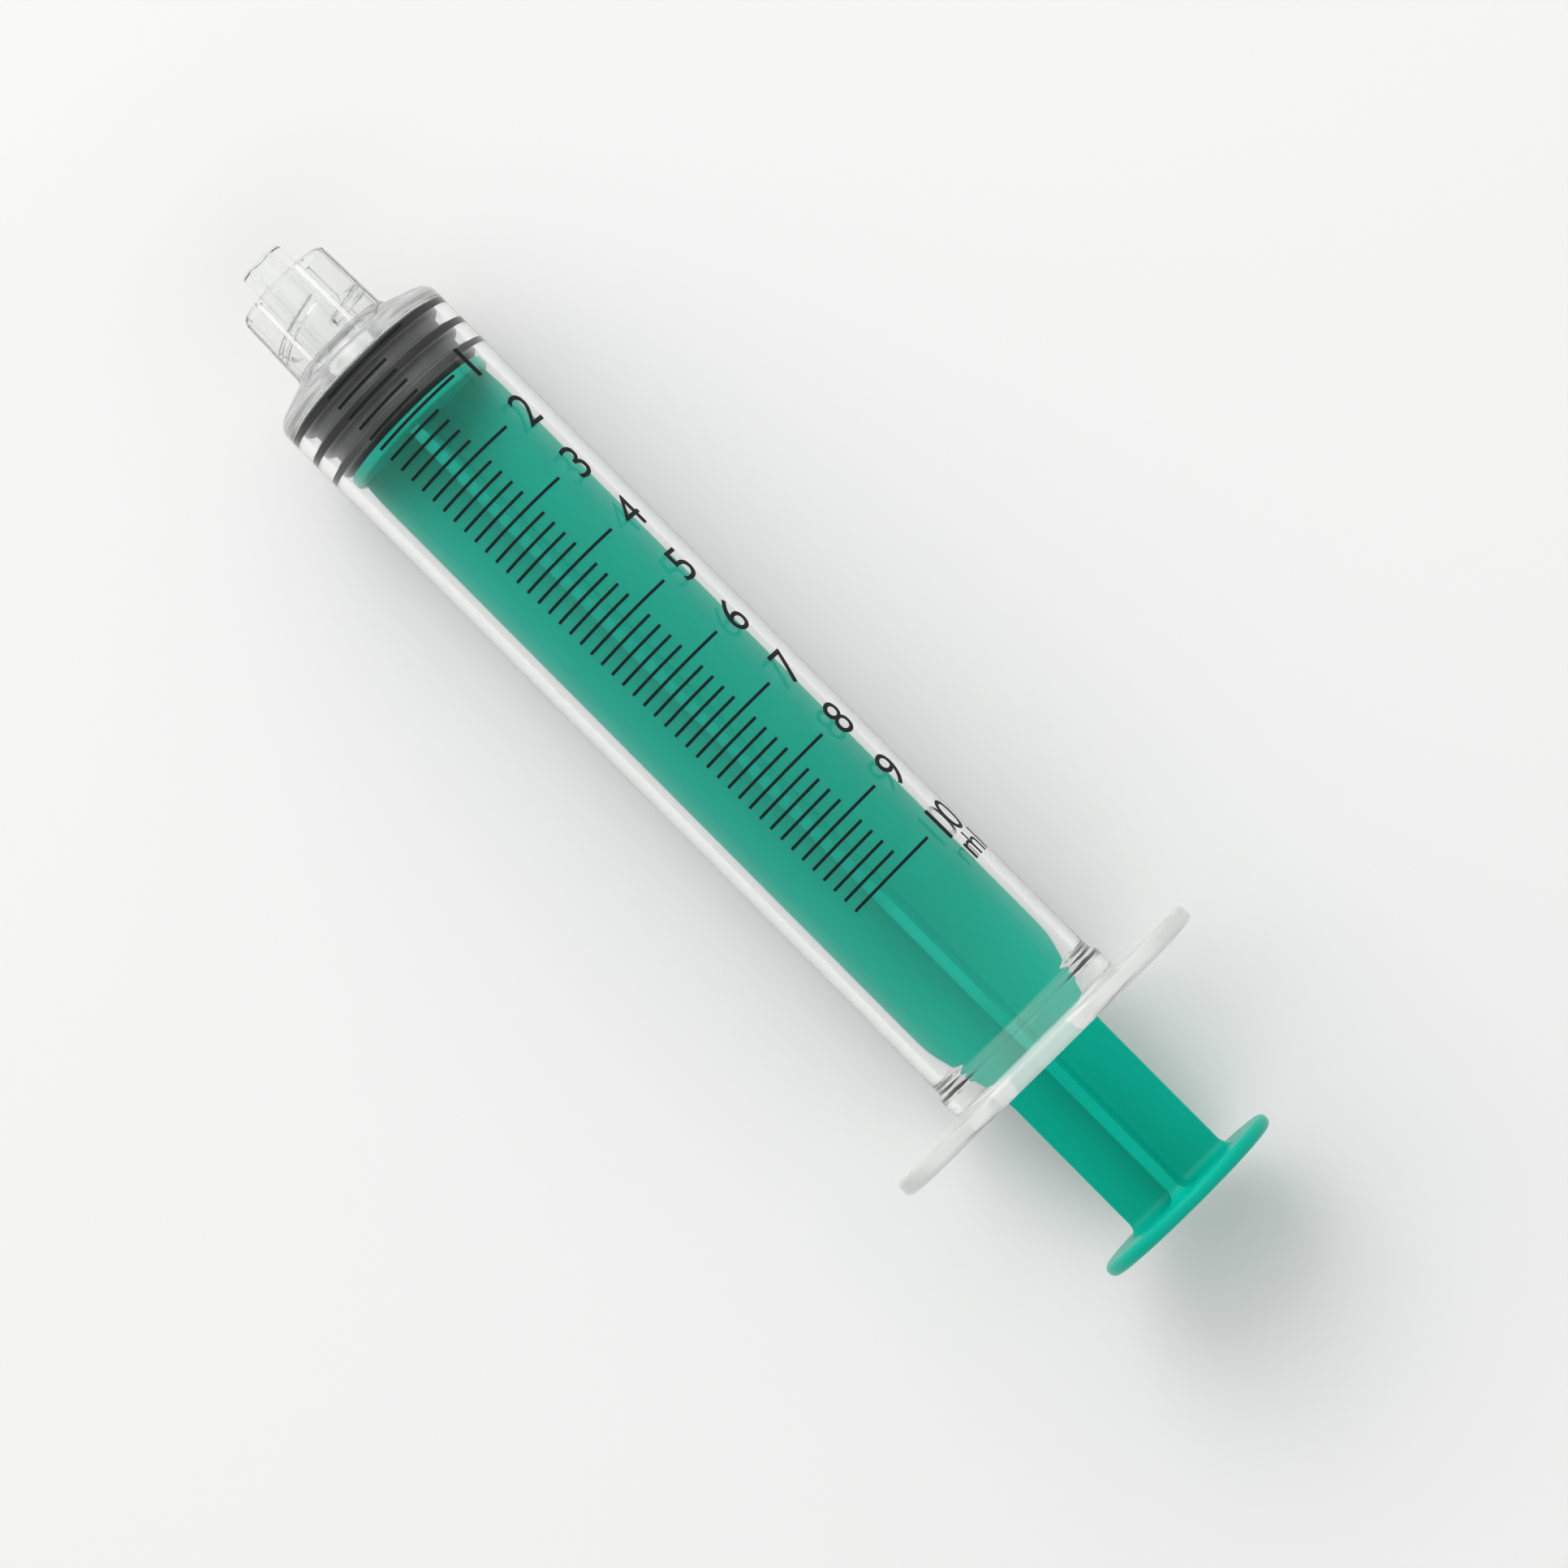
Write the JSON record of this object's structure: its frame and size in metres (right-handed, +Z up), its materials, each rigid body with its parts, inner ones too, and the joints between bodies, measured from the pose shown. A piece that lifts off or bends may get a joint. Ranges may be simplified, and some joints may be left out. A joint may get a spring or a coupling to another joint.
{
  "type": "luer lock syringe",
  "caption": "Clear syringe with a ribbed lock collar round its tapered nozzle, an oval finger flange, a graduated barrel, a ribbed rubber piston and a green cross-finned plunger rod.",
  "frame": {"origin": "on the surface that the syringe lies on, under the middle of its length", "axes": "+X from the nozzle towards the thumb disc, +Y along the wings of the finger flange, +Z up. The syringe lies on its side on the flange's flat and the rim of the front shoulder, so its own axis rises 1.33 degrees towards +X"},
  "size_m": [0.1064, 0.0318, 0.0204],
  "materials": {
    "clear_plastic": "clear moulded polypropylene, smooth",
    "black_rubber": "smooth black synthetic rubber with a film of silicone oil",
    "green_plastic": "green moulded plastic, satin gloss",
    "scale_ink": "black printed ink"
  },
  "bodies": {
    "barrel": {"barrel": "clear_plastic"},
    "piston": {"piston": "black_rubber"},
    "rod": {"plunger_rod": "green_plastic"}
  },
  "joints": [
    {"name": "plunger_slide", "type": "slide", "parent": "barrel", "child": "piston", "axis": [0.9997, 0, 0.0232], "range_m": [0, 0.066]},
    {"name": "rod_turn", "type": "hinge", "parent": "piston", "child": "rod", "pos_m": [-0.04229, 0, 0.00839], "axis": [0.9997, 0, 0.0232], "continuous": true}
  ]
}
